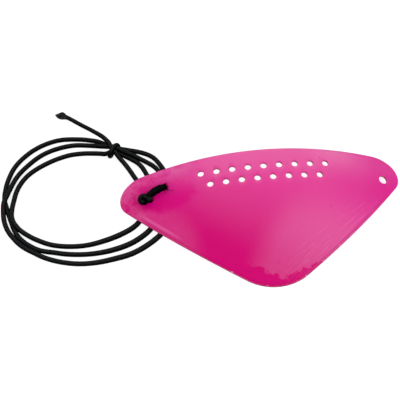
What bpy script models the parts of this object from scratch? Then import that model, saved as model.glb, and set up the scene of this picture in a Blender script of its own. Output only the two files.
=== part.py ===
"""Dished plastic throat guard tied to a coiled elastic cord.

The guard is a rounded triangle of sheet, bowed over two axes, that rests on its right tip and
its chin. X runs from tip to tip, Y from the chin to the top edge, and Z is up.
"""
import bmesh
import bpy
import math
from mathutils import Vector
from mathutils.geometry import delaunay_2d_cdt

# Guard outline, half of it, from the middle of the top edge round to the chin (metres, radians).
TOP_Y = 0.0681
TOP_RADIUS = 1.887
TOP_LENGTH = 0.1123
SHOULDER_RADIUS = 0.0291
SHOULDER_TURN = math.radians(35.8)
NOSE_RADIUS = 0.0172
NOSE_TURN = math.radians(91.7)
SIDE_RADIUS = 0.568
SIDE_LENGTH = 0.1385
OUTLINE_STEP = 0.005

# Guard sheet: its upper face is z = RISE + LEAN y - BOW_Y y^2 - BOW_X x^2 - TILT x.
SHEET = 0.0024
RISE = 0.02362
LEAN = 0.272
BOW_X = 1.59
BOW_Y = 0.61
TILT = 0.018
GRID_STEP = 0.0078

# Holes. The whole pattern sits a little right of the outline's middle.
PATTERN_SHIFT = 0.0033
VENT_RADIUS = 0.0030
VENT_PITCH = 0.015
VENT_ROWS = ((9, 0.0504), (8, 0.0383))
VENT_ROW_BOW = 0.32
LACING_RADIUS = 0.00425
LACING_X = 0.1156
LACING_Y = 0.0402
HOLE_SIDES = 16

# Cord.
CORD = 0.0044
TAG_CORD = 0.0048
GAP = 0.0003
TUBE_STEP = 0.0095
KNOT_HALF = (0.0068, 0.0058, 0.0043)
KNOT_YAW = math.radians(-28)
KNOT_SHIFT = (0.0022, -0.0019)
COIL_CENTRE = (-0.1663, 0.0617)
COIL_OUTER = 0.0826
COIL_INNER = 0.0520
COIL_HEIGHT = 0.0046
COIL_ROUNDING = 0.0018
COIL_SIDES = 96
TAG_ROUTE = ((-0.1006, 0.0423), (-0.0965, 0.0438), (-0.0912, 0.0450))
LEAD_ROUTE = (
    (-0.1120, 0.0404, 0.0150), (-0.1113, 0.0409, 0.0122), (-0.1098, 0.0419, 0.0096),
    (-0.1072, 0.0436, 0.0078), (-0.1040, 0.0462, 0.0072),
)
HITCH_ROUTE = (
    (-0.1397, 0.1092, 0.0074), (-0.1388, 0.1112, 0.0102), (-0.1371, 0.1152, 0.0124),
    (-0.1355, 0.1195, 0.0129), (-0.1340, 0.1238, 0.0124), (-0.1328, 0.1276, 0.0102),
    (-0.1323, 0.1294, 0.0074),
)
TAIL_ROUTE = (
    (-0.1390, 0.1298, 0.0086), (-0.1432, 0.1350, 0.0078), (-0.1482, 0.1412, 0.0073),
    (-0.1532, 0.1472, 0.0062), (-0.1586, 0.1522, 0.0040), (-0.1642, 0.1568, 0.0025),
    (-0.1716, 0.1633, 0.0022), (-0.1782, 0.1689, 0.0022), (-0.1822, 0.1719, 0.0022),
)
TIP_START = (-0.1826, 0.1722)
TIP_HEADING = math.radians(145)
TIP_LENGTH = 0.0108
TIP_HALF_WIDTH = 0.0035
TIP_HEIGHT = 0.0030


def clear_scene():
    for old in list(bpy.data.objects):
        bpy.data.objects.remove(old, do_unlink=True)


def make_material(name, colour, roughness, alpha=1.0):
    material = bpy.data.materials.new(name)
    material.use_nodes = True
    shader = material.node_tree.nodes["Principled BSDF"]
    shader.inputs["Base Color"].default_value = (*colour, 1.0)
    shader.inputs["Roughness"].default_value = roughness
    shader.inputs["Metallic"].default_value = 0.0
    shader.inputs["Alpha"].default_value = alpha
    return material


def link_object(name, data, material):
    made = bpy.data.objects.new(name, data)
    bpy.context.scene.collection.objects.link(made)
    made.data.materials.append(material)
    return made


def mesh_object(name, bm, material):
    bmesh.ops.recalc_face_normals(bm, faces=bm.faces)
    mesh = bpy.data.meshes.new(name)
    bm.to_mesh(mesh)
    bm.free()
    return link_object(name, mesh, material)


def sheet_point(x, y):
    """The point of the guard's upper face above (x, y)."""
    return Vector((x, y, RISE + LEAN * y - BOW_Y * y * y - BOW_X * x * x - TILT * x))


def sheet_normal(x, y):
    return Vector((2.0 * BOW_X * x + TILT, 2.0 * BOW_Y * y - LEAN, 1.0)).normalized()


def arc_points(start, heading, radius, turn):
    """Points of an arc that turns right, with the heading at its end."""
    centre = start + radius * Vector((math.sin(heading), -math.cos(heading)))
    steps = max(1, math.ceil(radius * turn / OUTLINE_STEP))
    points = []
    for step in range(1, steps + 1):
        angle = heading - turn * step / steps
        points.append(centre + radius * Vector((-math.sin(angle), math.cos(angle))))
    return points, heading - turn


def guard_outline():
    """The guard's closed outline in plan, from tangent arcs on one half and their mirror."""
    half = [Vector((0.0, TOP_Y))]
    heading = 0.0
    arcs = (
        (TOP_RADIUS, TOP_LENGTH / TOP_RADIUS),
        (SHOULDER_RADIUS, SHOULDER_TURN),
        (NOSE_RADIUS, NOSE_TURN),
        (SIDE_RADIUS, SIDE_LENGTH / SIDE_RADIUS),
    )
    for radius, turn in arcs:
        points, heading = arc_points(half[-1], heading, radius, turn)
        half.extend(points)
    chin_turn = math.pi + heading
    chin_radius = half[-1].x / math.sin(chin_turn)
    points, heading = arc_points(half[-1], heading, chin_radius, chin_turn)
    half.extend(points)
    mirrored = [Vector((-point.x, point.y)) for point in reversed(half[1:-1])]
    return half + mirrored


def hole_centres():
    """Every hole as (x, y, radius)."""
    holes = []
    for count, row_y in VENT_ROWS:
        for index in range(count):
            x = (index - (count - 1) / 2.0) * VENT_PITCH + PATTERN_SHIFT
            holes.append((x, row_y + VENT_ROW_BOW * x * x, VENT_RADIUS))
    for side in (-1.0, 1.0):
        holes.append((side * LACING_X + PATTERN_SHIFT, LACING_Y, LACING_RADIUS))
    return holes


def hole_outline(x, y, radius):
    """A circle in the sheet's own plane at (x, y), seen in plan."""
    normal = sheet_normal(x, y)
    across = normal.cross(Vector((0.0, 1.0, 0.0))).normalized()
    along = normal.cross(across)
    loop = []
    for side in range(HOLE_SIDES):
        angle = math.tau * side / HOLE_SIDES
        offset = radius * (math.cos(angle) * across + math.sin(angle) * along)
        loop.append(Vector((x + offset.x, y + offset.y)))
    return loop


def point_inside(point, loop):
    inside = False
    for start, end in zip(loop, loop[1:] + loop[:1]):
        if (start.y > point.y) != (end.y > point.y):
            cross_x = start.x + (point.y - start.y) * (end.x - start.x) / (end.y - start.y)
            if point.x < cross_x:
                inside = not inside
    return inside


def distance_to_loop(point, loop):
    nearest = 1.0
    for start, end in zip(loop, loop[1:] + loop[:1]):
        edge = end - start
        share = max(0.0, min(1.0, (point - start).dot(edge) / edge.length_squared))
        nearest = min(nearest, (point - start - share * edge).length)
    return nearest


def grid_points(outline, holes):
    """Staggered points inside the outline and clear of every hole."""
    points = []
    rows = int(2.0 * TOP_Y / (GRID_STEP * 0.866)) + 1
    columns = int(0.29 / GRID_STEP) + 1
    for row in range(-1, rows + 1):
        y = TOP_Y - row * GRID_STEP * 0.866
        for column in range(columns):
            x = -0.145 + (column + 0.5 * (row % 2)) * GRID_STEP
            point = Vector((x, y))
            near_hole = any((point - Vector((hx, hy))).length < r + 0.4 * GRID_STEP for hx, hy, r in holes)
            if near_hole or not point_inside(point, outline):
                continue
            if distance_to_loop(point, outline) > 0.45 * GRID_STEP:
                points.append(point)
    return points


def build_guard(material):
    outline = guard_outline()
    holes = hole_centres()
    loops = [outline] + [hole_outline(*hole) for hole in holes]
    plan = []
    edges = []
    for loop in loops:
        first = len(plan)
        plan.extend(loop)
        edges.extend((first + i, first + (i + 1) % len(loop)) for i in range(len(loop)))
    plan.extend(grid_points(outline, holes))
    points, _, faces = delaunay_2d_cdt(plan, edges, [], 0, 1e-9)[:3]

    bm = bmesh.new()
    upper = [bm.verts.new(sheet_point(p.x, p.y)) for p in points]
    lower = [bm.verts.new(sheet_point(p.x, p.y) - SHEET * sheet_normal(p.x, p.y)) for p in points]
    for face in faces:
        centre = sum((points[i] for i in face), Vector((0.0, 0.0))) / len(face)
        in_hole = any(point_inside(centre, loop) for loop in loops[1:])
        if in_hole or not point_inside(centre, outline):
            continue
        bm.faces.new([upper[i] for i in face])
        bm.faces.new([lower[i] for i in reversed(face)])
    rims = [edge for edge in bm.edges if edge.is_boundary and edge.verts[0] in set(upper)]
    upper_index = {vert: i for i, vert in enumerate(upper)}
    for edge in rims:
        first, second = edge.verts
        bm.faces.new((first, second, lower[upper_index[second]], lower[upper_index[first]]))
    loose = [vert for vert in bm.verts if not vert.link_faces]
    bmesh.ops.delete(bm, geom=loose, context="VERTS")
    return mesh_object("guard_shell", bm, material)


def smooth_route(route, step=TUBE_STEP):
    """Even points on a smooth curve through the route's points."""
    knots = [Vector(point) for point in route]
    ends = [2.0 * knots[0] - knots[1]] + knots + [2.0 * knots[-1] - knots[-2]]
    fine = []
    for i in range(1, len(ends) - 2):
        before, start, end, after = ends[i - 1:i + 3]
        for part in range(12):
            t = part / 12.0
            fine.append(0.5 * (2.0 * start + (end - before) * t
                               + (2.0 * before - 5.0 * start + 4.0 * end - after) * t ** 2
                               + (3.0 * start - before - 3.0 * end + after) * t ** 3))
    fine.append(knots[-1])
    total = sum((b - a).length for a, b in zip(fine, fine[1:]))
    count = max(3, round(total / step))
    spaced = [fine[0]]
    travelled = 0.0
    for start, end in zip(fine, fine[1:]):
        travelled += (end - start).length
        if travelled >= len(spaced) * total / count and len(spaced) < count:
            spaced.append(end)
    return spaced + [fine[-1]]


def build_tube(name, route, diameter, material, step=TUBE_STEP):
    curve = bpy.data.curves.new(name, "CURVE")
    curve.dimensions = "3D"
    curve.bevel_depth = diameter / 2.0
    curve.bevel_resolution = 2
    curve.use_fill_caps = True
    points = smooth_route(route, step)
    spline = curve.splines.new("POLY")
    spline.points.add(len(points) - 1)
    for target, point in zip(spline.points, points):
        target.co = (*point, 1.0)
    return link_object(name, curve, material)


def build_knot(material):
    """A squat rounded lump that sits on the sheet over the left lacing hole."""
    x = -LACING_X + PATTERN_SHIFT + KNOT_SHIFT[0]
    y = LACING_Y + KNOT_SHIFT[1]
    normal = sheet_normal(x, y)
    seat = sheet_point(x, y) + normal * (KNOT_HALF[2] + GAP)
    bm = bmesh.new()
    bmesh.ops.create_uvsphere(bm, u_segments=16, v_segments=10, radius=1.0)
    bmesh.ops.scale(bm, vec=KNOT_HALF, verts=bm.verts)
    knot = mesh_object("stopper_knot", bm, material)
    knot.location = seat
    knot.rotation_mode = "QUATERNION"
    lean = Vector((0.0, 0.0, 1.0)).rotation_difference(normal)
    turn = Vector((1.0, 0.0, 0.0)).rotation_difference(
        Vector((math.cos(KNOT_YAW), math.sin(KNOT_YAW), 0.0)))
    knot.rotation_quaternion = lean @ turn
    return knot


def build_tag(material):
    """The short cut end of cord that leaves the knot along the sheet."""
    height = TAG_CORD / 2.0 + GAP
    route = [sheet_point(x, y) + height * sheet_normal(x, y) for x, y in TAG_ROUTE]
    return build_tube("knot_tag_end", route, TAG_CORD, material, step=0.004)


def build_coil(material):
    """The outer shape of the three loose turns: a flat turned ring."""
    r0, r1, h, c = COIL_INNER, COIL_OUTER, COIL_HEIGHT, COIL_ROUNDING
    profile = (
        (r0 + c, 0.0), (r1 - c, 0.0), (r1, c), (r1, h - c),
        (r1 - c, h), (r0 + c, h), (r0, h - c), (r0, c),
    )
    bm = bmesh.new()
    verts = [bm.verts.new((radius, 0.0, z)) for radius, z in profile]
    edges = [bm.edges.new((a, b)) for a, b in zip(verts, verts[1:] + verts[:1])]
    bmesh.ops.spin(bm, geom=verts + edges, cent=(0.0, 0.0, 0.0), axis=(0.0, 0.0, 1.0),
                   angle=math.tau, steps=COIL_SIDES, use_merge=True)
    bmesh.ops.remove_doubles(bm, verts=bm.verts, dist=1e-5)
    ring = mesh_object("cord_coil", bm, material)
    ring.location = (*COIL_CENTRE, 0.0)
    return ring


def build_tip(material):
    """The flattened, heat-sealed end of the tail, which narrows to a point."""
    half = TIP_HALF_WIDTH
    plan = (
        (0.0, -0.6 * half), (0.35 * TIP_LENGTH, -half), (TIP_LENGTH, -0.12 * half),
        (TIP_LENGTH, 0.12 * half), (0.35 * TIP_LENGTH, half), (0.0, 0.6 * half),
    )
    bm = bmesh.new()
    face = bm.faces.new([bm.verts.new((x, y, 0.0)) for x, y in plan])
    raised = bmesh.ops.extrude_face_region(bm, geom=[face])
    moved = [item for item in raised["geom"] if isinstance(item, bmesh.types.BMVert)]
    bmesh.ops.translate(bm, vec=(0.0, 0.0, TIP_HEIGHT), verts=moved)
    tip = mesh_object("cord_tip", bm, material)
    tip.location = (*TIP_START, CORD / 2.0 - TIP_HEIGHT / 2.0)
    tip.rotation_euler = (0.0, 0.0, TIP_HEADING)
    return tip


def build():
    clear_scene()
    pink = make_material("pink_plastic", (0.72, 0.01, 0.20), 0.22)
    black = make_material("black_cord", (0.012, 0.012, 0.014), 0.7)
    build_guard(pink)
    build_knot(black)
    build_tag(black)
    build_tube("cord_lead", LEAD_ROUTE, CORD, black, step=0.004)
    build_coil(black)
    build_tube("coil_hitch", HITCH_ROUTE, CORD, black, step=0.0045)
    build_tube("cord_tail", TAIL_ROUTE, CORD, black)
    build_tip(black)


build()
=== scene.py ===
"""Looks of a dished pink throat guard that is tied to a coiled black elastic cord."""
import math

import bmesh
import bpy
import numpy as np
from mathutils import Matrix, Vector
from mathutils.geometry import delaunay_2d_cdt


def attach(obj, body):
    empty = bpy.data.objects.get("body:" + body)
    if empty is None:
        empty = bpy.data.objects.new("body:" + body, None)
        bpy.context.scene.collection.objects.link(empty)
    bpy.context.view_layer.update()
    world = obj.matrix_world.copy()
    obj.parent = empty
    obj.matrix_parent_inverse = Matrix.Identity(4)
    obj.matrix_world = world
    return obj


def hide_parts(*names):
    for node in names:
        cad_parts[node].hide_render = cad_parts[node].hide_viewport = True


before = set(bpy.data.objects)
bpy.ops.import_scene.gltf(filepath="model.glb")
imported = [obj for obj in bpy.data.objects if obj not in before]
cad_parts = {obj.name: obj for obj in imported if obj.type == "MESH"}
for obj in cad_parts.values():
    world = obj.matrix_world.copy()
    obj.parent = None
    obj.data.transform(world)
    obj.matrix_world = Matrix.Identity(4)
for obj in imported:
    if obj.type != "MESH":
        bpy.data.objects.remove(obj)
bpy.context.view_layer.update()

MM = 0.001
SEED = 7

# Guard outline and sheet, as in the CAD (metres, radians).
TOP_Y = 0.0681
TOP_RADIUS = 1.887
TOP_LENGTH = 0.1123
SHOULDER_RADIUS = 0.0291
SHOULDER_TURN = math.radians(35.8)
NOSE_RADIUS = 0.0172
NOSE_TURN = math.radians(91.7)
SIDE_RADIUS = 0.568
SIDE_LENGTH = 0.1385
SHEET = 0.0024
RISE = 0.02362
LEAN = 0.272
BOW_X = 1.59
BOW_Y = 0.61
TILT = 0.018
PATTERN_SHIFT = 0.0033
VENT_RADIUS = 0.0030
VENT_PITCH = 0.015
VENT_ROWS = ((9, 0.0504), (8, 0.0383))
VENT_ROW_BOW = 0.32
LACING_RADIUS = 0.00425
LACING_X = 0.1156
LACING_Y = 0.0402

# The guard's mesh, in finer steps than the CAD's (metres). Its rows are GRID_ROW of a step apart, so
# that the triangles are even. Edges that turn by more than CUT_EDGE are rounded, and less at a hole,
# whose edges are those that start within BY_HOLE of its outline.
OUTLINE_STEP = 0.0016
GRID_STEP = 0.0030
GRID_ROW = 0.866
GRID_HALF_WIDTH = 0.145
HOLE_SIDES = 36
CUT_EDGE = math.radians(60)
BY_HOLE = 0.002
RIM_ROUNDING = 0.00055
HOLE_ROUNDING = 0.0002
ROUNDING_STEPS = 3
# A vertex counts toward a cut edge where the cosine between its normal and the sheet's is below
# WALL_STARTS, and it counts in full where the cosine is lower by WALL_FADE.
WALL_STARTS, WALL_FADE = 0.96, 0.4
# Vertices that are measured at a time.
BATCH = 2000

# Cord: its declared diameter, and its diameter over the crests of the braid (metres).
CORD = 0.0044
OVER_CRESTS = 0.0049
COIL_CENTRE = Vector((-0.1663, 0.0617))
# From inside the knot, down through the left lacing hole and away under the guard (x, y, z in mm).
LEAD_MM = (
    (-112.7, 39.9, 17.0), (-112.1, 40.4, 14.2), (-110.9, 41.4, 11.0), (-108.2, 43.4, 8.4),
    (-104.4, 46.4, 7.1), (-99.8, 50.6, 6.9), (-95.6, 55.8, 6.0), (-92.0, 63.0, 4.0),
    (-90.6, 71.0, 2.4), (-91.6, 79.0, 2.2), (-94.6, 87.6, 2.2),
)
# Each pass round the coil: bearing about its centre in degrees, radius and height in mm.
INTO_HITCH = (
    (26, 74.8, 2.2), (33, 71.8, 2.9), (41, 68.0, 5.0), (48, 65.2, 7.2), (54.5, 64.2, 8.8),
    (61.5, 65.0, 9.6),
)
FIRST_TURN = (
    (69, 64.4, 7.6), (77, 66.0, 5.0), (85, 68.4, 3.0), (94, 70.7, 2.2), (105, 72.2, 2.2),
    (119, 73.6, 2.2), (132, 73.8, 2.2), (144, 73.3, 4.0), (151, 73.3, 5.4), (157, 73.4, 6.4),
    (163, 73.9, 6.8), (168, 74.9, 6.8), (173, 76.4, 6.6), (178, 78.4, 6.0), (186, 80.4, 4.8),
    (194, 82.0, 3.2), (203, 82.7, 2.4), (212, 82.2, 2.2), (219, 81.5, 2.2), (227, 80.7, 2.2),
    (236, 80.8, 2.2), (247, 80.5, 2.2), (260, 80.4, 2.2), (272, 80.3, 2.2),
    (284, 80.8, 2.2), (296, 83.0, 2.2), (308, 84.4, 2.2), (321, 86.0, 2.2), (336, 86.4, 2.2),
    (351, 85.6, 2.2), (365, 83.4, 2.2), (375, 81.6, 2.2), (383, 81.4, 2.2), (391, 81.5, 2.2),
    (395.2, 80.5, 2.6), (398.5, 78.6, 3.2), (402, 75.9, 4.2), (406.3, 72.5, 5.2),
    (410, 69.9, 6.0), (414.5, 67.8, 6.4), (421.5, 66.2, 6.2),
)
SECOND_TURN = (
    (70, 68.8, 5.2), (77, 73.2, 3.6), (84, 76.0, 2.4), (94, 79.0, 2.2), (106, 83.0, 2.2),
    (119, 84.6, 2.2), (131, 84.5, 2.2), (144, 83.6, 2.2), (157, 81.3, 2.2), (165, 80.1, 2.2),
    (172, 79.4, 2.2), (179, 78.0, 2.2), (184, 76.7, 2.2), (189, 76.0, 2.2), (194, 75.8, 2.2),
    (199, 76.1, 2.2), (204, 76.9, 2.2), (209, 77.7, 2.6), (215, 78.6, 3.0), (221, 78.2, 2.9),
    (227, 76.8, 2.6), (234, 74.6, 2.2),
    (241, 72.0, 2.2), (249, 70.7, 2.2), (260, 69.6, 2.2), (273, 69.5, 2.2), (286, 70.4, 2.2),
    (299, 72.2, 2.2), (310, 73.4, 2.2), (321, 74.3, 2.2), (336, 73.6, 2.2), (351, 70.6, 2.2),
    (365, 66.4, 2.2), (379, 63.9, 2.2), (386, 64.6, 2.2), (393, 65.3, 2.3), (399, 65.0, 2.8),
    (404, 64.3, 3.4), (410, 63.2, 4.4), (416, 62.4, 5.4), (421.5, 61.8, 6.0),
)
THIRD_TURN = (
    (66.5, 57.6, 4.6), (72, 57.7, 3.6), (78, 58.0, 2.7), (85, 58.2, 2.2), (94, 58.7, 2.2),
    (104, 59.5, 2.2),
    (120, 60.7, 2.2), (136, 63.6, 2.2), (146, 66.0, 2.2), (153, 67.3, 2.2), (159, 68.1, 2.6),
    (165, 68.6, 3.2), (171, 69.0, 4.0), (177, 69.6, 4.8), (183, 71.0, 5.6), (189, 72.8, 6.2),
    (194, 74.3, 6.4), (199, 74.9, 6.2), (204, 74.3, 5.4), (209, 72.5, 4.2), (214.5, 70.2, 3.0),
    (223, 67.6, 2.2), (236, 64.8, 2.2), (251, 61.2, 2.2), (267, 58.6, 2.2), (284, 57.0, 2.2),
    (302, 58.0, 2.2), (318, 60.0, 2.2), (338, 59.8, 2.2), (352, 58.0, 2.2), (366, 55.4, 2.2),
    (379, 52.1, 2.2), (390, 52.6, 2.2), (397, 53.9, 2.3), (403, 55.4, 2.8), (409, 56.8, 4.2),
    (413.5, 57.8, 6.4), (417.4, 59.6, 8.8),
)
TAIL = (
    (61.5, 61.8, 10.0), (65.2, 65.0, 11.6), (69.5, 70.2, 10.6), (73, 74.7, 9.2),
    (76.6, 79.0, 7.8), (80.3, 83.5, 6.4),
    (85.1, 90.3, 4.7), (88, 95.0, 3.5), (90.3, 99.2, 2.8), (92.7, 103.8, 2.2), (94.8, 108.0, 2.2),
    (96.6, 111.6, 2.3), (98.8, 114.4, 2.9),
)
# The hitch: an oval helix about the bundle of turns (degrees, mm).
HITCH_POINTS = 20
HITCH_FROM = -60
HITCH_TURN = 390
HITCH_BEARINGS = (62.8, 57.6)
HITCH_MIDDLE = (61.6, 7.5)
HITCH_HALF = (6.9, 5.0)

# The line of the cord and how it settles: lengths in metres, counts of points along the line and of
# rounds, and how much of each correction is made in one round.
SPLINE_PARTS = 24
SETTLE_STEP = 0.002
SETTLE_ROUNDS = 80
TOUCHING = 0.0045
NEARBY = 0.006
NEARBY_ROUNDS = 8
NEIGHBOURS = 5
HELD_POINTS = 6
PULL_BACK, UNBEND, PUSH_APART = 0.08, 0.2, 0.35

# Braid: yarns each way round the cover, the length along the cord in which they repeat, and how far
# they stand out. Then the mesh's step along a tube and round it, and the yarn value on its end caps.
YARNS = 8
YARN_REPEAT = 0.0019
YARN_DEPTH = 0.00022
RING_STEP = 0.00045
RING_SIDES = 28
RING_SMOOTHING = 6
CAP_YARN = 0.3

# Knot and its tag end, on the sheet over the left lacing hole (mm across, along, out of the sheet).
KNOT_RISE_MM = ((0.3, -0.2, -3.0), (0.6, 0.7, 0.6))
KNOT_LOOP_MIDDLE_MM = (0.7, -1.5, 3.9)
KNOT_LOOP_RADIUS_MM = 2.9
KNOT_LOOP_FROM, KNOT_LOOP_TURN, KNOT_LOOP_POINTS = 60, 360, 11
KNOT_LOOP_DEPTHS_MM = (-0.9, 1.7)
KNOT_LOOP_UP = (0.0, 0.75, 0.65)
KNOT_LEAVE_MM = (
    (4.0, -2.2, 4.6), (5.8, -4.0, 3.4), (6.6, -4.3, 2.6), (6.5, -2.6, 2.6), (5.9, 0.0, 2.9), (7.4, 1.6, 3.2),
)
TAG_MM = (
    (4.2, 0.2, 3.4), (7.0, 1.3, 3.5), (10.6, 3.0, 3.4), (14.4, 4.3, 3.3), (18.4, 5.0, 3.3),
    (22.7, 4.9, 3.4),
)
THREADS_MM = (
    ((21.4, 2.4, 2.2), (23.6, 1.3, 1.3), (26.0, 0.7, 1.1), (28.0, 0.6, 1.1), (28.9, 1.2, 1.2)),
    ((22.0, 3.6, 4.4), (23.4, 4.0, 5.0), (24.3, 4.9, 4.8)),
    ((21.8, 5.3, 2.8), (22.9, 6.3, 2.4), (23.2, 7.5, 1.6)),
    ((19.4, 3.0, 1.8), (20.2, 1.8, 1.0), (20.6, 0.6, 0.6)),
)
# Diameters of the knot's cord, its worn tag and a loose yarn, and the steps along them (metres).
KNOT_CORD = 0.0053
TAG_CORD = 0.0070
THREAD = 0.00032
FINE_STEP = 0.0006
THREAD_STEP = 0.0005
BRISTLES = 70

# Sealed tip of the tail. Each station is a share of its length, and its width and height there as
# shares of the cord's.
TIP_START = Vector((-0.1800, 0.1731, 0.0022))
TIP_HEADING = math.radians(156)
TIP_LENGTH = 0.0122
TIP_STATIONS = (
    (-0.24, 0.96, 0.98), (0.0, 1.06, 1.04), (0.14, 1.50, 1.20), (0.28, 1.98, 1.36),
    (0.42, 2.20, 1.44), (0.58, 1.84, 1.28), (0.76, 1.16, 0.90), (0.90, 0.58, 0.54), (1.0, 0.14, 0.24),
)
TIP_SIDES = 20
TIP_LUMPS = 0.035
TIP_SPARE = 1.03

# Thinner beyond the hitch, as shares of the cord's length.
TAIL_FROM, TAIL_TO, TAIL_THINNER = 0.956, 0.976, 0.10
# Thicker where the turns are slack, to the right of one x and in front of one y (metres).
SLACK_X, SLACK_Y, SLACK_FADE, SLACK_THICKER = -0.170, 0.040, 0.03, 0.13

# Colours of the plastic, the cord and the floor.
DEEP_PINK = (0.715, 0.0001, 0.186, 1.0)
PALER_PINK = (0.840, 0.0030, 0.300, 1.0)
# Painted reflection of the softboxes on the plastic, as a pale pink.
REFLECTION_PINK = (0.96, 0.31, 0.64, 1.0)
SCRATCH_PINK = (0.85, 0.38, 0.58, 1.0)
NICK_PINK = (0.90, 0.45, 0.62, 1.0)
SPECK_RED = (0.36, 0.0, 0.10, 1.0)
# Painted shade: a dark line inside the lower rim.
RIM_SHADE_RED = (0.42, 0.0, 0.09, 1.0)
# Painted shade on the cut edges of the sheet, darkest along the outline.
CUT_EDGE_SHADE_RED = (0.24, 0.0, 0.060, 1.0)
OUTLINE_SHADE_RED = (0.07, 0.0, 0.018, 1.0)
# Painted highlights on the yarn crests that face up, on the cord and, darker, on the worn tag.
YARN_CREST = (0.0360, 0.0390, 0.0410, 1.0)
WORN_YARN_CREST = (0.0080, 0.0085, 0.0090, 1.0)
BETWEEN_YARNS = (0.0002, 0.0002, 0.0003, 1.0)
WORN_BLACK = (0.0060, 0.0064, 0.0068, 1.0)
# Painted shade in the hollows of the melted end, and painted light on its lumps.
MELTED_HOLLOW = (0.002, 0.0024, 0.003, 1.0)
MELTED_LUMP = (0.016, 0.018, 0.021, 1.0)
FLOOR_GREY = (0.35, 0.35, 0.35, 1.0)
FLOOR_PALER_GREY = (0.37, 0.37, 0.37, 1.0)
WHITE = (1.0, 1.0, 1.0, 1.0)

# The floor is a lit table just below the object, so that almost no shadow shows on it.
FLOOR_GLOW = 0.85
FLOOR_HALF_WIDTH = 30.0
FLOOR_DROP = 0.0002
WORLD_GLOW = 0.03

# Softboxes: name, place, size and brightness. Some face down, turned by so many degrees about the
# vertical, and the others face the object.
LIGHTS_FACING_DOWN = (
    ("overhead_wide", (0.42, 0.53, 1.40), (1.5, 0.60), 0.34, -20),
    ("overhead_back", (0.30, 0.85, 1.42), (1.35, 0.62), 2.4, 6),
    ("overhead_right", (0.82, 0.20, 1.44), (0.70, 0.34), 0.70, -6),
    ("right_back", (1.24, 0.98, 1.44), (0.60, 0.50), 2.8, 0),
)
LIGHTS_FACING_OBJECT = (
    ("key", (-1.30, 0.95, 0.70), (0.4, 0.4), 9.0),
    ("left_fill", (-0.90, -1.20, 1.30), (1.0, 1.0), 5.4),
    ("right_fill", (1.00, -1.10, 1.30), (1.0, 1.0), 5.4),
)
OBJECT_MIDDLE = (0.0, 0.02, 0.02)

# Camera, from the photograph's viewing angle: its axes, its place in metres, and mm of lens and sensor.
CAMERA_RIGHT = (0.992193, -0.123894, -0.014228)
CAMERA_UP = (0.103142, 0.751105, 0.652076)
CAMERA_PLACE = (-0.1427, -0.7339, 0.9119)
CAMERA_LENS = 112.5
CAMERA_SENSOR = 36.0


# ---------------------------------------------------------------- small helpers

def link(name, data, *materials):
    """A new object in the scene."""
    made = bpy.data.objects.new(name, data)
    bpy.context.scene.collection.objects.link(made)
    for material in materials:
        made.data.materials.append(material)
    return made


def mesh_piece(name, bm, material, smooth=True):
    """A new mesh object from a bmesh, which is used up."""
    bmesh.ops.recalc_face_normals(bm, faces=bm.faces)
    mesh = bpy.data.meshes.new(name)
    bm.to_mesh(mesh)
    bm.free()
    for face in mesh.polygons:
        face.use_smooth = smooth
    return link(name, mesh, material)


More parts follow.
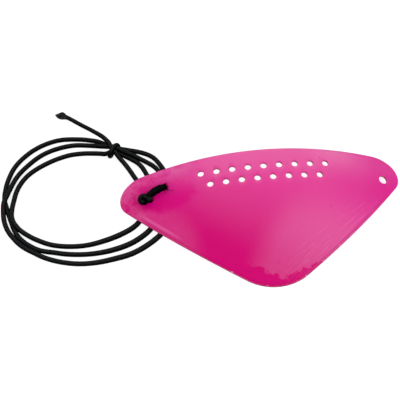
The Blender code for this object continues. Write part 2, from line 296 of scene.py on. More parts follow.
class Nodes:
    """Short calls for a material's node tree. A value may be a number or a node's output."""

    def __init__(self, name):
        self.material = bpy.data.materials.new(name)
        self.material.use_nodes = True
        self.tree = self.material.node_tree
        self.shader = self.tree.nodes["Principled BSDF"]

    def add(self, kind, **settings):
        """A new node with the given settings."""
        node = self.tree.nodes.new(kind)
        for key, value in settings.items():
            setattr(node, key, value)
        return node

    def put(self, target, value):
        """Joins a node's output to a socket, or sets the socket's own number or colour."""
        if isinstance(value, bpy.types.NodeSocket):
            self.tree.links.new(value, target)
        else:
            target.default_value = value

    def shade(self, values):
        """Puts values into the shader's sockets by name, and gives the finished material."""
        for name, value in values.items():
            self.put(self.shader.inputs[name], value)
        return self.material

    def math(self, operation, first, *others):
        """The operation on two or more values in turn, or on one."""
        if not others:
            node = self.add("ShaderNodeMath", operation=operation)
            self.put(node.inputs[0], first)
            return node.outputs[0]
        for other in others:
            node = self.add("ShaderNodeMath", operation=operation)
            self.put(node.inputs[0], first)
            self.put(node.inputs[1], other)
            first = node.outputs[0]
        return first

    def plus(self, *values):
        return self.math("ADD", *values)

    def times(self, *values):
        return self.math("MULTIPLY", *values)

    def larger(self, *values):
        return self.math("MAXIMUM", *values)

    def ramp(self, value, low, high, to_low=0.0, to_high=1.0):
        """Goes smoothly from to_low to to_high as the value goes from low to high."""
        node = self.add("ShaderNodeMapRange", interpolation_type="SMOOTHSTEP")
        for socket, number in zip(node.inputs, (value, low, high, to_low, to_high)):
            self.put(socket, number)
        return node.outputs[0]

    def mix(self, share, a, b):
        """Colour a, with a share of colour b."""
        node = self.add("ShaderNodeMix", data_type="RGBA")
        self.put(node.inputs[0], share)
        self.put(node.inputs[6], a)
        self.put(node.inputs[7], b)
        return node.outputs[2]

    def stored(self, name):
        """A number that is stored on the mesh's vertices."""
        return self.add("ShaderNodeAttribute", attribute_name=name).outputs["Fac"]

    def parts(self, vector):
        node = self.add("ShaderNodeSeparateXYZ")
        self.put(node.inputs[0], vector)
        return node.outputs

    def place(self, scale=(1.0, 1.0, 1.0), turn=0.0):
        """The place on the object in metres, turned about z, then scaled."""
        coordinates = self.add("ShaderNodeTexCoord")
        mapping = self.add("ShaderNodeMapping", vector_type="TEXTURE")
        mapping.inputs["Scale"].default_value = [1.0 / value for value in scale]
        mapping.inputs["Rotation"].default_value = (0.0, 0.0, turn)
        self.put(mapping.inputs["Vector"], coordinates.outputs["Object"])
        return mapping.outputs[0]

    def noise(self, vector, scale, detail, roughness=0.5):
        node = self.add("ShaderNodeTexNoise")
        values = {"Vector": vector, "Scale": scale, "Detail": detail, "Roughness": roughness}
        for name, value in values.items():
            self.put(node.inputs[name], value)
        return node.outputs[0]

    def bump(self, height, distance, strength, under=None):
        """A bumpy normal, over another one if given."""
        node = self.add("ShaderNodeBump")
        self.put(node.inputs["Distance"], distance)
        self.put(node.inputs["Strength"], strength)
        self.put(node.inputs["Height"], height)
        if under is not None:
            self.put(node.inputs["Normal"], under)
        return node.outputs[0]


# ---------------------------------------------------------------- materials

def painted_reflection(n, plain, x, y, rim):
    """How much painted reflection of the softboxes lies on the sheet, as a pale pink sheen. x, y and rim are
    in metres.
    """
    ragged = n.noise(plain, 150.0, 4.0, 0.6)

    # Painted reflection of the dark knot: the painted sheen is taken away in an oval by the knot.
    knot_x = n.times(n.plus(x, 0.089), 42.0)
    knot_y = n.times(n.plus(y, -0.036), 75.0)
    clear_of_knot_reflection = n.plus(n.times(knot_x, knot_x), n.times(knot_y, knot_y))
    clear_of_knot_reflection = n.ramp(n.plus(clear_of_knot_reflection, n.ramp(ragged, 0.3, 0.7, -0.3, 0.3)), 0.5, 1.7)

    # Painted reflection of the overhead softboxes, stronger toward the right, ends raggedly along two slopes
    # above the chin.
    off_chin = n.plus(x, -0.0046)
    above = n.plus(y, n.times(n.math("MINIMUM", off_chin, 0.0), 0.61),
                   n.times(n.larger(off_chin, 0.0), -0.34))
    above = n.ramp(n.plus(above, n.ramp(ragged, 0.25, 0.75, 0.0585, 0.0655)), 0.0, 0.0016)
    rightward = n.ramp(n.plus(x, n.times(y, -0.6)), -0.008, 0.028)
    rightward = n.times(rightward, n.ramp(y, 0.030, -0.020, 0.0, 0.17))
    from_left_side = n.plus(n.times(x, 0.587), n.times(y, 0.809))
    even_sheen = n.times(n.ramp(from_left_side, -0.048, 0.000, 0.0, 0.080), clear_of_knot_reflection)
    softbox_sheen = n.times(n.plus(rightward, even_sheen), above)

    # By the left tip, painted reflection: patches near the rim, a smoother sheen on the lower side, and a
    # painted highlight streak in the rim.
    patchy = n.times(n.ramp(n.noise(plain, 90.0, 4.0, 0.65), 0.36, 0.60), clear_of_knot_reflection)
    near_rim = n.larger(n.ramp(rim, 0.016, 0.005), n.ramp(x, -0.112, -0.123))
    patches = n.times(near_rim, patchy, n.ramp(x, -0.050, -0.080, 0.0, 0.22),
                      n.larger(n.ramp(x, -0.096, -0.114), n.ramp(y, 0.020, 0.034)))
    low_side = n.times(n.ramp(rim, 0.034, 0.010), n.ramp(x, -0.058, -0.082, 0.0, 0.13),
                       n.ramp(y, 0.034, 0.024), clear_of_knot_reflection, n.ramp(ragged, 0.3, 0.7, 0.75, 1.0))
    highlight_streak = n.times(n.ramp(rim, 0.0026, 0.0046), n.ramp(rim, 0.0080, 0.0052), n.ramp(y, 0.032, 0.024),
                     n.ramp(x, -0.123, -0.112), n.ramp(x, -0.072, -0.094, 0.0, 0.34))

    # A smooth band of the painted reflection along the top edge, and more at the right-hand shoulder.
    band = n.times(n.ramp(y, 0.030, 0.056, 0.0, 0.10), n.ramp(x, -0.100, -0.080))
    off_shoulder = n.math("ABSOLUTE", n.plus(x, -0.074))
    shoulder = n.times(n.ramp(off_shoulder, 0.034, 0.0, 0.0, 0.15), n.ramp(y, 0.044, 0.062))
    return n.plus(softbox_sheen, n.larger(patches, low_side, highlight_streak), band, shoulder)


def scratches(n, x, y, rim):
    """Hairline scratches along the right-hand side, and a few faint ones elsewhere."""
    along = n.noise(n.place((40.0, 1300.0, 40.0), math.radians(38)), 1.0, 2.0)
    right_side = n.times(n.ramp(rim, 0.030, 0.006), n.ramp(x, 0.002, 0.026), n.ramp(y, 0.022, -0.004))
    across = n.noise(n.place((900.0, 50.0, 60.0), math.radians(12)), 1.0, 2.0)
    return n.larger(n.times(n.ramp(along, 0.54, 0.66), right_side), n.ramp(across, 0.68, 0.78, 0.0, 0.10))


def dust_specks(n, plain):
    """Specks of dust and small pits, in sparse groups."""
    cells = n.add("ShaderNodeTexVoronoi", feature="F1")
    n.put(cells.inputs["Scale"], 95.0)
    n.put(cells.inputs["Vector"], plain)
    sparse = n.ramp(n.noise(plain, 60.0, 0.0), 0.60, 0.64)
    return n.times(n.ramp(cells.outputs["Distance"], 0.05, 0.11, 1.0, 0.0), sparse)


def pink_plastic():
    """The glossy sheet, with its painted reflection, scratches, specks and painted shade on its cut edges.
    """
    n = Nodes("pink_plastic")
    plain = n.place()
    x, y, _ = n.parts(plain)
    rim, wall = n.stored("rim"), n.stored("wall")

    # Deep pink toward the lower left, paler toward the top and the right, and slightly cloudy.
    paler = n.ramp(n.plus(n.times(x, 0.5), y), -0.060, 0.065)
    paler = n.plus(paler, n.ramp(n.noise(plain, 22.0, 2.0), 0.3, 0.7, -0.06, 0.06))
    colour = n.mix(paler, DEEP_PINK, PALER_PINK)
    # Painted reflection of the softboxes, mixed in as pale pink.
    colour = n.mix(painted_reflection(n, plain, x, y, rim), colour, REFLECTION_PINK)
    marks = scratches(n, x, y, rim)
    colour = n.mix(n.times(marks, 0.075), colour, SCRATCH_PINK)
    colour = n.mix(n.times(dust_specks(n, plain), 0.45), colour, SPECK_RED)

    # A painted shade line inside the lower rim, painted shade on the cut edges, darkest along the outline,
    # and pale nicks on that one.
    line = n.times(n.ramp(rim, 0.0008, 0.0016), n.ramp(rim, 0.0034, 0.0022, 0.0, 0.3),
                   n.ramp(y, 0.030, 0.010))
    colour = n.mix(line, colour, RIM_SHADE_RED)
    # Painted shade on the cut edges, and darker still along the outline.
    colour = n.mix(n.times(wall, 0.85), colour, CUT_EDGE_SHADE_RED)
    colour = n.mix(n.times(wall, n.ramp(rim, 0.0040, 0.0030, 0.0, 0.85)), colour, OUTLINE_SHADE_RED)
    nick = n.times(n.ramp(n.noise(plain, 330.0, 1.0), 0.70, 0.76), n.ramp(rim, 0.0014, 0.0006))
    colour = n.mix(nick, colour, NICK_PINK)

    wavy = n.bump(n.noise(plain, 30.0, 1.0), 0.0006, 0.35)
    grained = n.bump(n.noise(plain, 420.0, 2.0), 0.00006, 0.5, wavy)
    return n.shade({
        "Base Color": colour,
        "Roughness": n.plus(n.times(marks, 0.15), 0.26),
        "Normal": n.bump(marks, 0.00004, -0.6, grained),
        "IOR": 1.49,
        "Specular IOR Level": 0.5,
        "Subsurface Weight": 0.12,
        "Subsurface Radius": (0.9, 0.05, 0.3),
        "Subsurface Scale": 0.003,
    })


def braid(name, crest_highlight):
    """A black cover, with a painted grey highlight on the crests of the yarns that face up."""
    n = Nodes(name)
    fibres = n.noise(n.place((1500.0, 1500.0, 1500.0)), 1.0, 2.0)
    # Painted highlight: grey on the crests of the yarns that face up, black between the yarns as painted
    # shade.
    crest = n.times(n.ramp(n.stored("yarn"), 0.25, 0.95), n.ramp(fibres, 0.2, 0.8, 0.6, 1.0))
    facing_up = n.parts(n.add("ShaderNodeNewGeometry").outputs["Normal"])[2]
    painted_top_sheen = n.times(n.ramp(facing_up, 0.50, 1.0), crest)
    colour = n.mix(painted_top_sheen, BETWEEN_YARNS, crest_highlight)
    worn = n.noise(n.place(), 60.0, 2.0)
    return n.shade({
        "Base Color": n.mix(n.ramp(worn, 0.5, 0.8, 0.0, 0.2), colour, WORN_BLACK),
        "Roughness": n.ramp(fibres, 0.2, 0.8, 0.50, 0.68),
        "Specular IOR Level": 0.03,
        "Normal": n.bump(fibres, 0.00008, 0.5),
    })


def melted():
    """Cord that melted and set hard, lumpy and half glossy."""
    n = Nodes("melted_cord_end")
    lumps = n.noise(n.place(), 420.0, 3.0)
    return n.shade({
        # Painted shade and light: darker in the hollows between the lumps, paler on the lumps.
        "Base Color": n.mix(n.ramp(lumps, 0.35, 0.7), MELTED_HOLLOW, MELTED_LUMP),
        "Roughness": n.ramp(lumps, 0.3, 0.7, 0.34, 0.6),
        "Specular IOR Level": 0.12,
        "Normal": n.bump(lumps, 0.0003, 0.6),
    })


def floor_paint():
    """A white table that is lit from within, almost even in tone."""
    n = Nodes("pale_floor")
    return n.shade({
        "Base Color": n.mix(n.noise(n.place(), 3.0, 2.0), FLOOR_GREY, FLOOR_PALER_GREY),
        "Emission Color": WHITE,
        "Emission Strength": FLOOR_GLOW,
        "Roughness": 0.8,
        "Specular IOR Level": 0.1,
    })


# ---------------------------------------------------------------- guard

def sheet_point(x, y):
    """The point of the guard's upper face above (x, y)."""
    return Vector((x, y, RISE + LEAN * y - BOW_Y * y * y - BOW_X * x * x - TILT * x))


def sheet_normal(x, y):
    """The direction out of the guard's upper face at (x, y)."""
    return Vector((2.0 * BOW_X * x + TILT, 2.0 * BOW_Y * y - LEAN, 1.0)).normalized()


def arc_points(start, heading, radius, turn):
    """Points of an arc that turns right, with the heading at its end."""
    centre = start + radius * Vector((math.sin(heading), -math.cos(heading)))
    steps = max(1, math.ceil(radius * turn / OUTLINE_STEP))
    points = []
    for step in range(1, steps + 1):
        angle = heading - turn * step / steps
        points.append(centre + radius * Vector((-math.sin(angle), math.cos(angle))))
    return points, heading - turn


def guard_outline():
    """The closed outline in plan: arcs down the right-hand half, and the same mirrored."""
    half = [Vector((0.0, TOP_Y))]
    heading = 0.0
    arcs = (
        (TOP_RADIUS, TOP_LENGTH / TOP_RADIUS),
        (SHOULDER_RADIUS, SHOULDER_TURN),
        (NOSE_RADIUS, NOSE_TURN),
        (SIDE_RADIUS, SIDE_LENGTH / SIDE_RADIUS),
    )
    for radius, turn in arcs:
        points, heading = arc_points(half[-1], heading, radius, turn)
        half.extend(points)
    chin_turn = math.pi + heading
    chin_radius = half[-1].x / math.sin(chin_turn)
    points, _ = arc_points(half[-1], heading, chin_radius, chin_turn)
    half.extend(points)
    mirrored = [Vector((-point.x, point.y)) for point in reversed(half[1:-1])]
    return half + mirrored


def hole_centres():
    """Each hole's x, y and radius: the rows of vents, then the two lacing holes."""
    holes = []
    for count, row_y in VENT_ROWS:
        for index in range(count):
            x = (index - (count - 1) / 2.0) * VENT_PITCH + PATTERN_SHIFT
            holes.append((x, row_y + VENT_ROW_BOW * x * x, VENT_RADIUS))
    for side in (-1.0, 1.0):
        holes.append((side * LACING_X + PATTERN_SHIFT, LACING_Y, LACING_RADIUS))
    return holes


def hole_outline(x, y, radius):
    """A circle in the sheet's own plane at (x, y), seen in plan."""
    normal = sheet_normal(x, y)
    across = normal.cross(Vector((0.0, 1.0, 0.0))).normalized()
    along = normal.cross(across)
    loop = []
    for side in range(HOLE_SIDES):
        angle = math.tau * side / HOLE_SIDES
        offset = radius * (math.cos(angle) * across + math.sin(angle) * along)
        loop.append(Vector((x + offset.x, y + offset.y)))
    return loop


def inside_and_distance(points, loop):
    """For each plan point, whether it is inside a closed loop, and how far it is from it."""
    p = np.array(points)[:, None, :]
    a = np.array(loop)[None]
    b = np.roll(a, -1, axis=1)
    edge = b - a
    share = np.clip(((p - a) * edge).sum(2) / (edge * edge).sum(2), 0.0, 1.0)
    distance = np.linalg.norm(p - a - share[..., None] * edge, axis=2).min(1)
    straddles = (a[..., 1] > p[..., 1]) != (b[..., 1] > p[..., 1])
    run = np.where(edge[..., 1] == 0.0, 1.0, edge[..., 1])
    cross_x = a[..., 0] + (p[..., 1] - a[..., 1]) * edge[..., 0] / run
    inside = (straddles & (p[..., 0] < cross_x)).sum(1) % 2 == 1
    return inside, distance


def mark_rim_and_walls(mesh, outline):
    """Stores each vertex's distance from the outline, and how far it belongs to a cut edge."""
    from_rim, walls = [], []
    for first in range(0, len(mesh.vertices), BATCH):
        batch = mesh.vertices[first:first + BATCH]
        from_rim.extend(inside_and_distance([v.co.xy for v in batch], outline)[1])
    for vertex in mesh.vertices:
        facing = abs(vertex.normal.dot(sheet_normal(vertex.co.x, vertex.co.y)))
        walls.append(min(1.0, max(0.0, (WALL_STARTS - facing) / WALL_FADE)))
    for name, values in (("rim", from_rim), ("wall", walls)):
        mesh.attributes.new(name, "FLOAT", "POINT").data.foreach_set("value", values)


def sheet_in_plan(outline, holes):
    """Points and faces of the sheet seen in plan, with its holes left open."""
    loops = [outline] + [hole_outline(*hole) for hole in holes]
    plan, edges = [], []
    for loop in loops:
        first = len(plan)
        plan.extend(loop)
        edges.extend((first + i, first + (i + 1) % len(loop)) for i in range(len(loop)))
    grid = []
    rows = int(2.0 * TOP_Y / (GRID_STEP * GRID_ROW)) + 1
    columns = int(2.0 * GRID_HALF_WIDTH / GRID_STEP) + 1
    for row in range(-1, rows + 1):
        y = TOP_Y - row * GRID_STEP * GRID_ROW
        indent = 0.5 * (row % 2)
        grid.extend((-GRID_HALF_WIDTH + (column + indent) * GRID_STEP, y) for column in range(columns))
    inside, distance = inside_and_distance(grid, outline)
    for (x, y), is_in, far in zip(grid, inside, distance):
        clear = all((x - hx) ** 2 + (y - hy) ** 2 > (r + 0.5 * GRID_STEP) ** 2 for hx, hy, r in holes)
        if is_in and far > 0.5 * GRID_STEP and clear:
            plan.append(Vector((x, y)))
    points, _, faces = delaunay_2d_cdt(plan, edges, [], 0, 1e-9)[:3]

    centres = [sum((points[i] for i in face), Vector((0.0, 0.0))) / len(face) for face in faces]
    kept, _ = inside_and_distance(centres, outline)
    for loop in loops[1:]:
        in_hole, _ = inside_and_distance(centres, loop)
        kept &= ~in_hole
    return points, [face for face, keep in zip(faces, kept) if keep]


def guard_piece(material):
    """The sheet with its upper face, lower face and cut edges, which are rounded."""
    outline = guard_outline()
    holes = hole_centres()
    points, faces = sheet_in_plan(outline, holes)
    bm = bmesh.new()
    upper = [bm.verts.new(sheet_point(p.x, p.y)) for p in points]
    lower = [bm.verts.new(sheet_point(p.x, p.y) - SHEET * sheet_normal(p.x, p.y)) for p in points]
    for face in faces:
        bm.faces.new([upper[i] for i in face])
        bm.faces.new([lower[i] for i in reversed(face)])
    index = {vert: i for i, vert in enumerate(upper)}
    rims = [e for e in bm.edges if e.is_boundary and e.verts[0] in index]
    for rim in rims:
        first, second = rim.verts
        bm.faces.new((first, second, lower[index[second]], lower[index[first]]))
    bmesh.ops.delete(bm, geom=[v for v in bm.verts if not v.link_faces], context="VERTS")
    bmesh.ops.recalc_face_normals(bm, faces=bm.faces)
    sharp = [e for e in bm.edges if len(e.link_faces) == 2 and e.calc_face_angle() > CUT_EDGE]
    by_hole = {e: any((e.verts[0].co.xy - Vector((hx, hy))).length < r + BY_HOLE for hx, hy, r in holes)
               for e in sharp}
    for at_hole, rounding in ((True, HOLE_ROUNDING), (False, RIM_ROUNDING)):
        bmesh.ops.bevel(bm, geom=[e for e in sharp if e.is_valid and by_hole[e] == at_hole],
                        offset=rounding, segments=ROUNDING_STEPS, profile=0.5, affect="EDGES",
                        clamp_overlap=True)
    guard = mesh_piece("guard", bm, material)
    mark_rim_and_walls(guard.data, outline)
    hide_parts("guard_shell")
    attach(guard, "root")


# ---------------------------------------------------------------- cord

def even(points, step):
    """The same line with its points an even step apart."""
    lengths = np.r_[0.0, np.cumsum(np.linalg.norm(np.diff(points, axis=0), axis=1))]
    count = max(2, round(lengths[-1] / step))
    at = np.linspace(0.0, lengths[-1], count + 1)
    return np.stack([np.interp(at, lengths, points[:, k]) for k in range(3)], 1)


def smooth_line(points, step):
    """A centripetal spline through listed points, evenly spaced."""
    knots = np.array(points, float)
    ends = np.vstack([2.0 * knots[0] - knots[1], knots, 2.0 * knots[-1] - knots[-2]])
    fine = []
    for i in range(1, len(ends) - 2):
        four = ends[i - 1:i + 3]
        t = [0.0]
        for a, b in zip(four, four[1:]):
            t.append(t[-1] + max(1e-9, np.linalg.norm(b - a)) ** 0.5)
        for u in np.linspace(t[1], t[2], SPLINE_PARTS, endpoint=False):
            level = four
            for spans in (((0, 1), (1, 2), (2, 3)), ((0, 2), (1, 3)), ((1, 2),)):
                level = [((t[high] - u) * level[k] + (u - t[low]) * level[k + 1]) / (t[high] - t[low])
                         for k, (low, high) in enumerate(spans)]
            fine.append(level[0])
    fine.append(knots[-1])
    return even(np.array(fine), step)


def settle(line):
    """Presses touching stretches of the cord apart and keeps it on the floor, with soft bends."""
    target = line.copy()
    count = len(line)
    first, second = np.triu_indices(count, NEIGHBOURS)
    for turn in range(SETTLE_ROUNDS):
        line[HELD_POINTS:] += PULL_BACK * (target[HELD_POINTS:] - line[HELD_POINTS:])
        bend = np.zeros_like(line)
        bend[1:-1] = 0.5 * (line[:-2] + line[2:]) - line[1:-1]
        change = np.zeros_like(line)
        change[1:-1] = 0.5 * (bend[:-2] + bend[2:]) - bend[1:-1]
        line[HELD_POINTS:-1] -= UNBEND * change[HELD_POINTS:-1]
        if turn % NEARBY_ROUNDS == 0:
            near = np.abs(line[first] - line[second]).max(1) < NEARBY
            i, j = first[near], second[near]
        gap = line[i] - line[j]
        length = np.linalg.norm(gap, axis=1)
        close = length < TOUCHING
        push = gap[close] * (PUSH_APART * (TOUCHING / length[close] - 1.0))[:, None]
        # A point that touches several others moves by less than the sum of their pushes.
        moved, shares = np.zeros_like(line), np.ones(count)
        for side, sign in ((i[close], 1.0), (j[close], -1.0)):
            np.add.at(moved, side, sign * push)
            np.add.at(shares, side, 0.5)
        moved /= shares[:, None]
        moved[:HELD_POINTS] = 0.0
        line += moved
        line[:, 2] = np.maximum(line[:, 2], OVER_CRESTS / 2.0)
    return line


def round_coil(bearing, radius, height):
    """A place given by its bearing about the coil's centre in degrees, radius and height in mm."""
    angle = math.radians(bearing)
    return (COIL_CENTRE.x + MM * radius * math.cos(angle),
            COIL_CENTRE.y + MM * radius * math.sin(angle), MM * height)


def cord_line():
    """The cord's middle line, from inside the knot to the end of the tail."""
    hand = [tuple(MM * v for v in point) for point in LEAD_MM]
    passes = INTO_HITCH, FIRST_TURN, SECOND_TURN, THIRD_TURN, TAIL
    hand.extend(round_coil(*row) for rows in passes for row in rows)
    return settle(smooth_line(hand, SETTLE_STEP))


def hitch_piece(material):
    """The cord wrapped round the coil's turns, a little more than once."""
    route = []
    for step in range(HITCH_POINTS):
        share = step / (HITCH_POINTS - 1)
        angle = math.radians(HITCH_FROM - share * HITCH_TURN)
        route.append(round_coil(
            HITCH_BEARINGS[0] + share * (HITCH_BEARINGS[1] - HITCH_BEARINGS[0]),
            HITCH_MIDDLE[0] + HITCH_HALF[0] * math.cos(angle),
            HITCH_MIDDLE[1] + HITCH_HALF[1] * math.sin(angle)))
    hitch = braided_tube("hitch", smooth_line(route, FINE_STEP), OVER_CRESTS, material)
    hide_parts("coil_hitch")
    return hitch


def braided_tube(name, line, diameter, material, scale=None):
    """A tube along a line, with the raised yarns of a braided cover.

    scale gives a factor on its radius, from the share of its length and the angle round it."""
    line = even(line, RING_STEP)
    for _ in range(RING_SMOOTHING):
        line[1:-1] += 0.25 * (line[:-2] - 2.0 * line[1:-1] + line[2:])
    along = np.gradient(line, axis=0)
    along /= np.linalg.norm(along, axis=1)[:, None]
    side = np.cross(along[0], (0.0, 0.0, 1.0))
    if np.linalg.norm(side) < 0.1:  # The line starts almost upright.
        side = np.cross(along[0], (0.0, 1.0, 0.0))
    sides = [side / np.linalg.norm(side)]
    for tangent in along[1:]:
        turned = sides[-1] - tangent * (sides[-1] @ tangent)
        sides.append(turned / np.linalg.norm(turned))
    sides = np.array(sides)
    ups = np.cross(along, sides)
    travelled = np.r_[0.0, np.cumsum(np.linalg.norm(np.diff(line, axis=0), axis=1))]

    around = np.arange(RING_SIDES)[None] / RING_SIDES
    one = YARNS * around + travelled[:, None] / YARN_REPEAT
    other = YARNS * around - travelled[:, None] / YARN_REPEAT
    over = (np.floor(one) + np.floor(other)) % 2 == 0
    yarn = np.where(over, np.abs(np.sin(math.pi * one)), np.abs(np.sin(math.pi * other)))
    radius = diameter / 2.0 - YARN_DEPTH * (1.0 - yarn)
    angle = math.tau * around
    if scale is not None:
        radius = radius * scale(travelled[:, None] / travelled[-1], angle)
    rings = (line[:, None] + (radius * np.cos(angle))[..., None] * sides[:, None]
             + (radius * np.sin(angle))[..., None] * ups[:, None])

    count = len(line)
    verts = [tuple(v) for v in rings.reshape(-1, 3)] + [tuple(line[0]), tuple(line[-1])]
    faces = []
    for ring in range(count - 1):
        for k in range(RING_SIDES):
            a, b = ring * RING_SIDES + k, ring * RING_SIDES + (k + 1) % RING_SIDES
            faces.append((a, b, b + RING_SIDES, a + RING_SIDES))
    last = (count - 1) * RING_SIDES
    for k in range(RING_SIDES):
        faces.append((count * RING_SIDES, (k + 1) % RING_SIDES, k))
        faces.append((count * RING_SIDES + 1, last + k, last + (k + 1) % RING_SIDES))
    mesh = bpy.data.meshes.new(name)
    mesh.from_pydata(verts, [], faces)
    heights = mesh.attributes.new("yarn", "FLOAT", "POINT")
    heights.data.foreach_set("value", np.r_[yarn.ravel(), CAP_YARN, CAP_YARN].astype(np.float32))
    for face in mesh.polygons:
        face.use_smooth = True
    mesh.update()
    piece = link(name, mesh, material)
    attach(piece, "root")
    return piece


def on_sheet(points):
    """Points given in mm from the left lacing hole: across, along and out of the sheet."""
    placed = []
    for across, along, out in points:
        x = -LACING_X + PATTERN_SHIFT + MM * across
        y = LACING_Y + MM * along
        placed.append(sheet_point(x, y) + MM * out * sheet_normal(x, y))
    return placed


def knot_route():
    """Up out of the hole, once round a loop that faces up and toward the chin, then to the tag."""
    up = Vector(KNOT_LOOP_UP).normalized()
    across = Vector((1.0, 0.0, 0.0))
    outward = across.cross(up)
    loop = []
    for step in range(KNOT_LOOP_POINTS):
        share = step / (KNOT_LOOP_POINTS - 1)
        angle = math.radians(KNOT_LOOP_FROM + share * KNOT_LOOP_TURN)
        depth = KNOT_LOOP_DEPTHS_MM[0] + share * (KNOT_LOOP_DEPTHS_MM[1] - KNOT_LOOP_DEPTHS_MM[0])
        loop.append(tuple(Vector(KNOT_LOOP_MIDDLE_MM) + depth * outward + KNOT_LOOP_RADIUS_MM
                          * (math.cos(angle) * across + math.sin(angle) * up)))
    return on_sheet([*KNOT_RISE_MM, *loop, *KNOT_LEAVE_MM])


def worn_end(share, angle):
    """The tag is swollen and lumpy, and rounds off over its last tenth."""
    swell = 0.84 + 0.22 * np.sin(math.pi * np.clip(share / 0.9, 0.0, 1.0))
    lumps = 0.045 * np.sin(24.0 * share + angle) + 0.035 * np.sin(47.0 * share - 2.0 * angle + 1.0)
    return swell + lumps - 0.20 * np.clip((share - 0.90) / 0.10, 0.0, 1.0) ** 2


def yarns_piece(name, lines, resolution, material):
    """Loose yarns of the cover, each a thin round curve along a line."""
    curve = bpy.data.curves.new(name, "CURVE")
    curve.dimensions = "3D"
    curve.bevel_depth = THREAD / 2.0
    curve.bevel_resolution = resolution
    curve.use_fill_caps = True
    for line in lines:
        spline = curve.splines.new("POLY")
        spline.points.add(len(line) - 1)
        for target, point in zip(spline.points, line):
            target.co = (*point, 1.0)
    piece = link(name, curve, material)
    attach(piece, "root")
    return piece


def bristles(material):
    """The short cut ends of the cover's yarns, round the end of the tag."""
    rng = np.random.default_rng(SEED)
    near, end = on_sheet(TAG_MM[-2:])
    along = (end - near).normalized()
    across = along.cross(Vector((0.0, 0.0, 1.0))).normalized()
    up = across.cross(along)
    # Each starts near the tag's end, bends outward and runs on for up to about 1 mm.
    lines = []
    for _ in range(BRISTLES):
        angle = rng.uniform(0.0, math.tau)
        outward = math.cos(angle) * across + math.sin(angle) * up
        start = end - along * 0.0020 * rng.random() + outward * TAG_CORD * rng.uniform(0.15, 0.44)
        middle = start + along * 0.0007 + outward * 0.0003
        tip = middle + along * rng.uniform(0.0001, 0.0010) + outward * rng.uniform(0.0, 0.0011)
        lines.append((start, middle, tip))
    return yarns_piece("cut_yarns", lines, 1, material)


def knot_pieces(cover, worn_cover):
    """The knot, its worn tag, the cut yarns round the tag's end and the loose threads."""
    knot = braided_tube("knot", smooth_line(knot_route(), FINE_STEP), KNOT_CORD, cover)
    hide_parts("stopper_knot")
    tag_line = smooth_line(on_sheet(TAG_MM), FINE_STEP)
    tag = braided_tube("knot_tag", tag_line, TAG_CORD, worn_cover, worn_end)
    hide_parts("knot_tag_end")
    threads = [yarns_piece(f"loose_thread_{number + 1}", [smooth_line(on_sheet(route), THREAD_STEP)], 2,
                           worn_cover) for number, route in enumerate(THREADS_MM)]
    return [knot, tag, bristles(worn_cover), *threads]


def tip_piece(material):
    """The tail's end, pinched flat while hot: it widens, then narrows to a point."""
    heading = Vector((math.cos(TIP_HEADING), math.sin(TIP_HEADING), 0.0))
    across = Vector((-heading.y, heading.x, 0.0))
    rng = np.random.default_rng(SEED)
    bm = bmesh.new()
    rings = []
    for share, wide, high in TIP_STATIONS:
        # A station that is higher than the cord is lifted, so that it stays above the floor.
        lift = max(0.0, TIP_SPARE * high - 1.0) * CORD / 2.0
        ring = []
        for k in range(TIP_SIDES):
            angle = math.tau * k / TIP_SIDES
            rough = 1.0 + rng.uniform(-TIP_LUMPS, TIP_LUMPS)
            ring.append(bm.verts.new(
                TIP_START + heading * (TIP_LENGTH * share)
                + across * (CORD / 2.0 * wide * rough * math.cos(angle))
                + Vector((0.0, 0.0, lift))
                + Vector((0.0, 0.0, CORD / 2.0 * high * rough * math.sin(angle)))))
        rings.append(ring)
    for low, high in zip(rings, rings[1:]):
        for k in range(TIP_SIDES):
            bm.faces.new((low[k], low[(k + 1) % TIP_SIDES], high[(k + 1) % TIP_SIDES], high[k]))
    bm.faces.new(list(reversed(rings[0])))
    bm.faces.new(rings[-1])
    tip = mesh_piece("sealed_tip", bm, material)
    rounded = tip.modifiers.new("rounded", "SUBSURF")
    rounded.levels = rounded.render_levels = 2
    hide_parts("cord_tip")
    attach(tip, "root")
    return tip


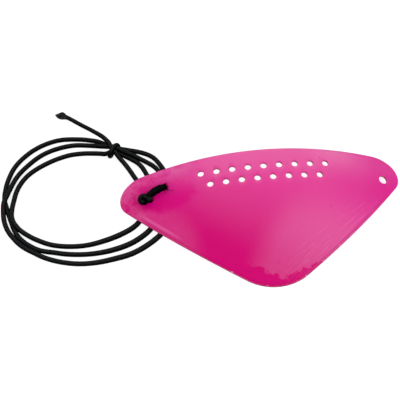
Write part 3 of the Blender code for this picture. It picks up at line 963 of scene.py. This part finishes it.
def cord_pieces(cover, worn_cover, seal):
    """The cord with its knot, hitch and tip."""
    line = cord_line()
    shares = np.linspace(0.0, 1.0, len(line))

    def thickness(share, _):
        """The factor on the radius at each share of the cord's length, the same all round."""
        tail = TAIL_THINNER * np.clip((share - TAIL_FROM) / (TAIL_TO - TAIL_FROM), 0.0, 1.0)
        rightward = np.clip((np.interp(share, shares, line[:, 0]) - SLACK_X) / SLACK_FADE, 0.0, 1.0)
        frontward = np.clip((SLACK_Y - np.interp(share, shares, line[:, 1])) / SLACK_FADE, 0.0, 1.0)
        return 1.0 + SLACK_THICKER * rightward * frontward - tail

    line[:, 2] = np.maximum(line[:, 2], OVER_CRESTS / 2.0 * thickness(shares, None))
    cord = braided_tube("cord", line, OVER_CRESTS, cover, thickness)
    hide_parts("cord_lead", "cord_coil", "cord_tail")
    others = knot_pieces(cover, worn_cover) + [hitch_piece(cover), tip_piece(seal)]


# ---------------------------------------------------------------- stage

def soft_light(name, place, size, radiance, rotation):
    """A rectangular softbox whose face has the given brightness."""
    light = bpy.data.lights.new(name, "AREA")
    light.shape = "RECTANGLE"
    light.size, light.size_y = size
    light.energy = radiance * math.pi * size[0] * size[1]
    lamp = link(name, light)
    lamp.location = place
    lamp.rotation_euler = rotation


def stage():
    """The floor, the studio lights and the camera."""
    scene = bpy.context.scene
    bm = bmesh.new()
    bmesh.ops.create_grid(bm, x_segments=1, y_segments=1, size=FLOOR_HALF_WIDTH)
    floor = mesh_piece("floor", bm, floor_paint(), smooth=False)
    floor.location.z = -FLOOR_DROP

    world = bpy.data.worlds.new("studio")
    world.use_nodes = True
    background = world.node_tree.nodes["Background"]
    background.inputs["Color"].default_value = WHITE
    background.inputs["Strength"].default_value = WORLD_GLOW
    scene.world = world
    for name, place, size, radiance, turn in LIGHTS_FACING_DOWN:
        soft_light(name, place, size, radiance, (0.0, 0.0, math.radians(turn)))
    for name, place, size, radiance in LIGHTS_FACING_OBJECT:
        facing = (Vector(OBJECT_MIDDLE) - Vector(place)).to_track_quat("-Z", "Y").to_euler()
        soft_light(name, place, size, radiance, facing)

    lens = bpy.data.cameras.new("camera")
    lens.lens = CAMERA_LENS
    lens.sensor_width = CAMERA_SENSOR
    camera = link("camera", lens)
    right, up = Vector(CAMERA_RIGHT), Vector(CAMERA_UP)
    turn = Matrix((right, up, right.cross(up))).transposed().to_4x4()
    camera.matrix_world = Matrix.Translation(CAMERA_PLACE) @ turn
    scene.camera = camera
    scene.view_settings.view_transform = "Standard"


guard_piece(pink_plastic())
cord_pieces(braid("black_braid", YARN_CREST), braid("worn_braid", WORN_YARN_CREST), melted())
stage()

bpy.context.view_layer.update()
